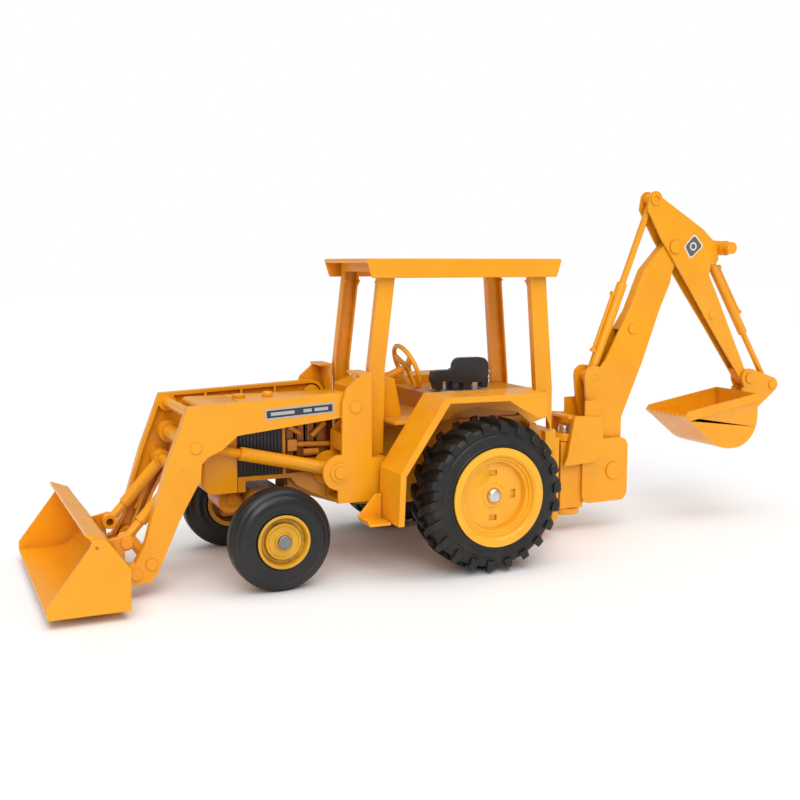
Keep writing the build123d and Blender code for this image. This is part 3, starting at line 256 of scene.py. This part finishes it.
dress(("loader_bucket", "hoe_bucket", "loader_arm_left", "loader_arm_right"), worn_paint)
dress(("engine",), engine_plastic)
dress(("engine_pipes", "axle_pivot_pin", "front_axle"), hose_plastic)
dress(("platform", "chassis"), deck_grime_and_shade_paint)
dress(("front_spindles",), dull_steel)
dress(("front_rim_left", "front_rim_right"), front_rim_plastic)
dress(("front_tyre_left", "front_tyre_right"), front_rubber)
dress(("seat_post",), steel)


# ---------------------------------------------------------------- mesh helpers
def place(piece, body, slot, material):
    piece.data.materials.clear()
    piece.data.materials.append(material)
    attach(piece, body)


def new_object(name, mesh_data):
    """Object from a bmesh in metres, shaded smooth except at its sharp edges."""
    bmesh.ops.recalc_face_normals(mesh_data, faces=mesh_data.faces)
    mesh = bpy.data.meshes.new(name)
    mesh_data.to_mesh(mesh)
    mesh_data.free()
    piece = bpy.data.objects.new(name, mesh)
    bpy.context.scene.collection.objects.link(piece)
    for polygon in mesh.polygons:
        polygon.use_smooth = True
    mesh.set_sharp_from_angle(angle=math.radians(32))
    return piece


def round_edges(piece, width, segments=2, angle=28):
    bevel = piece.modifiers.new("rounded_edges", "BEVEL")
    bevel.width = width * MM
    bevel.segments = segments
    bevel.limit_method = "ANGLE"
    bevel.angle_limit = math.radians(angle)
    bevel.harden_normals = True
    bevel.miter_outer = "MITER_ARC"


def cast(node, width):
    """Rounds a casting's edges: the piece copies the CAD node's shape and stands for it."""
    mesh_data = bmesh.new()
    mesh_data.from_mesh(nodes[node].data)
    bmesh.ops.remove_doubles(mesh_data, verts=mesh_data.verts, dist=2e-6)
    bmesh.ops.dissolve_limit(
        mesh_data, angle_limit=math.radians(0.6), verts=mesh_data.verts, edges=mesh_data.edges
    )
    piece = new_object(node + "_casting", mesh_data)
    round_edges(piece, width)
    place(piece, body_of[node], slot_of[node], nodes[node].data.materials[0])
    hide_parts(node)


def lathe(mesh_data, centre, outline, steps):
    """Turns a closed (radius, y) outline about the cross axis through centre."""
    rings = []
    for step in range(steps):
        turn = 2 * math.pi * step / steps
        ring = [
            mesh_data.verts.new(
                centre + Vector((radius * math.sin(turn), y, radius * math.cos(turn))) * MM
            )
            for radius, y in outline
        ]
        rings.append(ring)
    count = len(outline)
    for step in range(steps):
        ring, following = rings[step], rings[(step + 1) % steps]
        for index in range(count):
            after = (index + 1) % count
            mesh_data.faces.new((ring[index], ring[after], following[after], following[index]))


label_sink = 0.1


def label(name, outline, face_y, thickness, body, material):
    """Flat label on an upright face: an (x, z) outline, sunk a hair into the face at face_y."""
    outward = 1 if face_y > 0 else -1
    mesh_data = bmesh.new()
    layers = [
        [mesh_data.verts.new(Vector((x, y, z)) * MM) for x, z in outline]
        for y in (face_y - outward * label_sink, face_y + outward * thickness)
    ]
    for layer in layers:
        mesh_data.faces.new(layer)
    for index in range(len(outline)):
        after = (index + 1) % len(outline)
        mesh_data.faces.new((layers[0][index], layers[0][after], layers[1][after], layers[1][index]))
    place(new_object(name, mesh_data), body, "grille_silver", material)


def rounded(corners, radius, steps=5):
    """Replaces each corner of a convex outline by a short arc."""
    outline = []
    for index, corner in enumerate(corners):
        before = (Vector(corners[index - 1]) - Vector(corner)).normalized() * radius
        after = (Vector(corners[(index + 1) % len(corners)]) - Vector(corner)).normalized() * radius
        for step in range(steps + 1):
            share = step / steps
            point = Vector(corner) + before * (1 - share) ** 2 + after * share ** 2
            outline.append((point.x, point.y))
    return outline


def between(start, end, along, across):
    """Point at a share of the way from start to end, then across to the left of that line."""
    line = Vector(end) - Vector(start)
    point = Vector(start) + line * along + Vector((-line.y, line.x)).normalized() * across
    return point.x, point.y


# ---------------------------------------------------------------- castings
large_rounding, medium_rounding, bucket_rounding, small_rounding = 0.55, 0.4, 0.35, 0.3
for name in (
    "hood", "nose", "cowl", "platform", "canopy_roof", "front_hoop", "rear_hoop", "swing_frame",
    "backhoe_mount", "boom", "dipper", "chassis",
):
    cast(name, large_rounding)
for name in (
    "fender_left", "fender_right", "tower_left", "tower_right", "loader_arm_left", "loader_arm_right",
    "steps", "bucket_brackets", "lift_rods", "lift_barrel_left", "lift_barrel_right", "tilt_barrels",
    "tilt_rods", "crowd_barrel", "crowd_rod", "curl_barrel", "curl_rod", "front_axle", "engine",
    "engine_pipes", "rear_rim_left", "rear_rim_right", "front_rim_left", "front_rim_right",
    "steering_wheel", "steering_column", "seat", "seat_post",
):
    cast(name, medium_rounding)
for name in (
    "tower_pins", "arm_rivets", "boom_pins", "dipper_pins", "hoe_bucket_rivets", "boom_foot_pin",
    "hood_caps", "rear_axle", "front_spindles", "swing_pin",
):
    cast(name, small_rounding)
for name in ("loader_bucket", "hoe_bucket"):
    cast(name, bucket_rounding)


# ---------------------------------------------------------------- rear tyres
def rear_tyre(side):
    """Agricultural tyre: smooth carcass with two staggered rows of slanted lugs."""
    node = f"rear_tyre_{side}"
    low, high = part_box(node)
    centre = (low + high) / 2
    half = (high.y - low.y) / 2 / MM
    outer = (high.z - low.z) / 2 / MM
    carcass = [(27.1, -half + 1.6), (27.1, half - 1.6)]
    bead = [
        (29.6, half - 0.1), (30.6, half), (31.4, half - 0.5), (33.5, half - 0.1), (36.2, half - 0.2),
        (36.8, half - 0.9), (39.6, half - 1.3), (41.6, half - 2.6), (42.9, half - 5.2), (43.5, half - 9.5),
    ]
    carcass += bead
    carcass += [(43.6, 0)]
    carcass += [(radius, -y) for radius, y in reversed(bead)]
    mesh_data = bmesh.new()
    lathe(mesh_data, centre, carcass, 120)
    lug_count = 22
    # along each lug: (y, radius at its foot, radius at its crown, how far it trails, half thickness)
    path = [
        (-1.2, 43.2, outer - 0.1, 0.0, 1.7),
        (3.0, 43.2, outer, 0.055, 1.8),
        (7.5, 42.9, outer - 0.25, 0.11, 2.0),
        (11.0, 41.8, outer - 1.1, 0.145, 2.2),
        (half - 1.0, 40.2, outer - 2.4, 0.165, 2.35),
        (half + 0.0, 38.4, 41.6, 0.175, 2.3),
    ]
    for hand in (1, -1):
        for number in range(lug_count):
            start = 2 * math.pi * (number + (0.25 if hand > 0 else -0.25)) / lug_count
            rows = []
            for index, (y, foot, crown, trail, thick) in enumerate(path):
                row = []
                last = index == len(path) - 1
                for radius, offset in ((foot, -1.25), (crown, -1), (crown, 1), (foot, 1.25)):
                    turn = start - trail + offset * thick / radius
                    depth = y if not last or radius == crown else y - 0.1
                    corner = Vector((radius * math.sin(turn), hand * depth, radius * math.cos(turn)))
                    row.append(mesh_data.verts.new(centre + corner * MM))
                rows.append(row)
            for first, second in zip(rows, rows[1:]):
                for corner in range(4):
                    after = (corner + 1) % 4
                    mesh_data.faces.new((first[corner], first[after], second[after], second[corner]))
            mesh_data.faces.new(rows[0])
            mesh_data.faces.new(rows[-1])
    piece = new_object(f"rear_tyre_tread_{side}", mesh_data)
    round_edges(piece, 0.35, 2, 30)
    place(piece, body_of[node], "tyre", rear_rubber)
    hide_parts(node)


# ---------------------------------------------------------------- front tyres
def front_tyre(side):
    """Ribbed steering tyre with a glossy stepped side wall."""
    node = f"front_tyre_{side}"
    low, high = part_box(node)
    centre = (low + high) / 2
    half = (high.y - low.y) / 2 / MM
    outer = (high.z - low.z) / 2 / MM
    wall = [
        (14.1, half - 1.3), (15.6, half - 0.2), (16.6, half), (17.4, half - 0.35), (19.6, half - 0.05),
        (22.4, half - 0.4), (24.8, half - 1.5), (25.4, half - 2.3), (26.4, half - 2.5), (27.6, half - 3.3),
        (28.3, half - 4.1),
    ]
    rib_half = half - 4.1
    grooves = []
    for middle in (3.1, 1.05):
        for offset, depth in ((0.45, 0.0), (0.28, 1.0), (-0.28, 1.0), (-0.45, 0.0)):
            crown = outer - 0.25 * (middle / rib_half) ** 2
            grooves.append((crown - depth, middle + offset))
    tread = [(outer - 0.3, rib_half - 0.2)] + grooves
    half_outline = wall + tread
    outline = half_outline + [(radius, -y) for radius, y in reversed(half_outline)]
    mesh_data = bmesh.new()
    lathe(mesh_data, centre, outline, 112)
    piece = new_object(f"front_tyre_ribbed_{side}", mesh_data)
    place(piece, body_of[node], "tyre", front_rubber)
    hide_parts(node)


for side in ("left", "right"):
    rear_tyre(side)
    front_tyre(side)


# ---------------------------------------------------------------- labels
arm_face, dipper_face = 39.5, 5.3  # outer faces that carry labels, from the centre plane


def arm_label(side, face_y):
    """Silver strip with a black field and plain bars, along the loader arm."""
    rear, front = (99.2, 99.9), (141.0, 97.8)
    # each layer: its bars as (start share, end share, half width), thickness and material
    layers = (
        ("edge", ((0.0, 1.0, 3.1),), 0.12, label_silver),
        ("field", ((0.025, 0.975, 2.1),), 0.2, label_black),
        ("bars", ((0.09, 0.29, 0.95), (0.33, 0.45, 0.95), (0.58, 0.92, 0.95)), 0.26, label_silver),
    )
    for part, bars, thickness, material in layers:
        for number, (begin, finish, half) in enumerate(bars):
            outline = [
                between(rear, front, begin, half), between(rear, front, finish, half),
                between(rear, front, finish, -half), between(rear, front, begin, -half),
            ]
            name = f"arm_label_{part}_{side}_{number}"
            label(name, outline, face_y, thickness, "loader_arms", material)


def dipper_badge(side, face_y):
    """White-edged rounded diamond with a plain ring."""
    corners = [(-187.3, 203.8), (-178.0, 194.8), (-184.0, 185.8), (-195.4, 195.2)]
    middle = Vector((sum(x for x, z in corners) / 4, sum(z for x, z in corners) / 4))
    corner_radius = 2.2
    diamonds = (("edge", 1.0, 0.12, label_white), ("field", 0.86, 0.2, label_grey))
    for part, scale, thickness, material in diamonds:
        scaled = [tuple(middle + (Vector(corner) - middle) * scale) for corner in corners]
        outline = rounded(scaled, corner_radius * scale)
        label(f"dipper_badge_{part}_{side}", outline, face_y, thickness, "dipper", material)
    discs = (("ring", 2.9, 0.26, label_white), ("heart", 1.9, 0.3, label_grey))
    for part, radius, thickness, material in discs:
        turns = [math.radians(turn) for turn in range(0, 360, 12)]
        circle = [
            (middle.x + radius * math.cos(turn), middle.y + radius * math.sin(turn)) for turn in turns
        ]
        label(f"dipper_badge_{part}_{side}", circle, face_y, thickness, "dipper", material)


def seat_bolt():
    """Round bolt head at the rear end of the seat's back."""
    head_centre, head_radius = (-21.6, 6.0, 113.0), 1.4
    mesh_data = bmesh.new()
    bmesh.ops.create_uvsphere(mesh_data, u_segments=16, v_segments=10, radius=head_radius * MM)
    bmesh.ops.translate(mesh_data, verts=mesh_data.verts, vec=Vector(head_centre) * MM)
    place(new_object("seat_bolt", mesh_data), "seat", "steel", steel)


seat_bolt()
for side, hand in (("left", 1), ("right", -1)):
    arm_label(side, hand * arm_face)
    dipper_badge(side, hand * dipper_face)


# ---------------------------------------------------------------- camera, light and floor
def look_along(piece, place_mm, yaw, pitch):
    """Stands a piece at a point, looking yaw degrees left of -Y and pitch degrees down."""
    yaw, pitch = math.radians(yaw), math.radians(pitch)
    level = math.cos(pitch)
    direction = Vector((-math.sin(yaw) * level, -math.cos(yaw) * level, -math.sin(pitch)))
    piece.location = Vector(place_mm) * MM
    piece.rotation_euler = direction.to_track_quat("-Z", "Y").to_euler()


camera_data = bpy.data.cameras.new("camera")
camera_data.lens = 48.97
camera_data.sensor_width = 36.0
camera_data.clip_start = 0.01
camera = bpy.data.objects.new("camera", camera_data)
bpy.context.scene.collection.objects.link(camera)
look_along(camera, (323.7, 627.5, 183.6), 24.4, 7.2)
bpy.context.scene.camera = camera


def soft_sun(name, azimuth, elevation, strength, softness):
    """Even studio light from a direction (degrees from straight ahead towards the left, and up)."""
    data = bpy.data.lights.new(name, "SUN")
    data.energy = strength
    data.angle = math.radians(softness)
    lamp = bpy.data.objects.new(name, data)
    bpy.context.scene.collection.objects.link(lamp)
    lamp.rotation_euler = (0, math.radians(90 - elevation), math.radians(azimuth))


soft_sun("overhead_softbox", 90, 78, 1.75, 70)
soft_sun("key_softbox", 72, 34, 1.15, 40)

# The surroundings light the toy dimly but look white, as a lit paper backdrop does.
ambient_strength, backdrop_strength = 0.42, 1.0
world = bpy.data.worlds.new("studio")
world.use_nodes = True
world_nodes, world_links = world.node_tree.nodes, world.node_tree.links
ambient = world_nodes["Background"]
backdrop = world_nodes.new("ShaderNodeBackground")
for glow, strength in ((ambient, ambient_strength), (backdrop, backdrop_strength)):
    glow.inputs["Color"].default_value = (1, 1, 1, 1)
    glow.inputs["Strength"].default_value = strength
seen = world_nodes.new("ShaderNodeLightPath")
choice = world_nodes.new("ShaderNodeMixShader")
world_links.new(seen.outputs["Is Camera Ray"], choice.inputs["Fac"])
world_links.new(ambient.outputs["Background"], choice.inputs[1])
world_links.new(backdrop.outputs["Background"], choice.inputs[2])
world_links.new(choice.outputs["Shader"], world_nodes["World Output"].inputs["Surface"])
bpy.context.scene.world = world
bpy.context.scene.view_settings.view_transform = "Standard"

floor_half_size, floor_drop = 6.0, 0.0002  # metres; the drop keeps the floor off the tyres
floor_white, floor_bright = (0.93, 0.93, 0.93), (0.95, 0.95, 0.95)
floor_data = bmesh.new()
bmesh.ops.create_grid(floor_data, x_segments=8, y_segments=8, size=floor_half_size)
floor = new_object("studio_floor", floor_data)
floor.location.z = -floor_drop
floor_shade = Shade("studio_floor_white", floor_white, 0.6)
floor_shade.drive("Base Color", floor_shade.mix(floor_shade.noise(3), floor_white, floor_bright))
floor.data.materials.append(floor_shade.material)
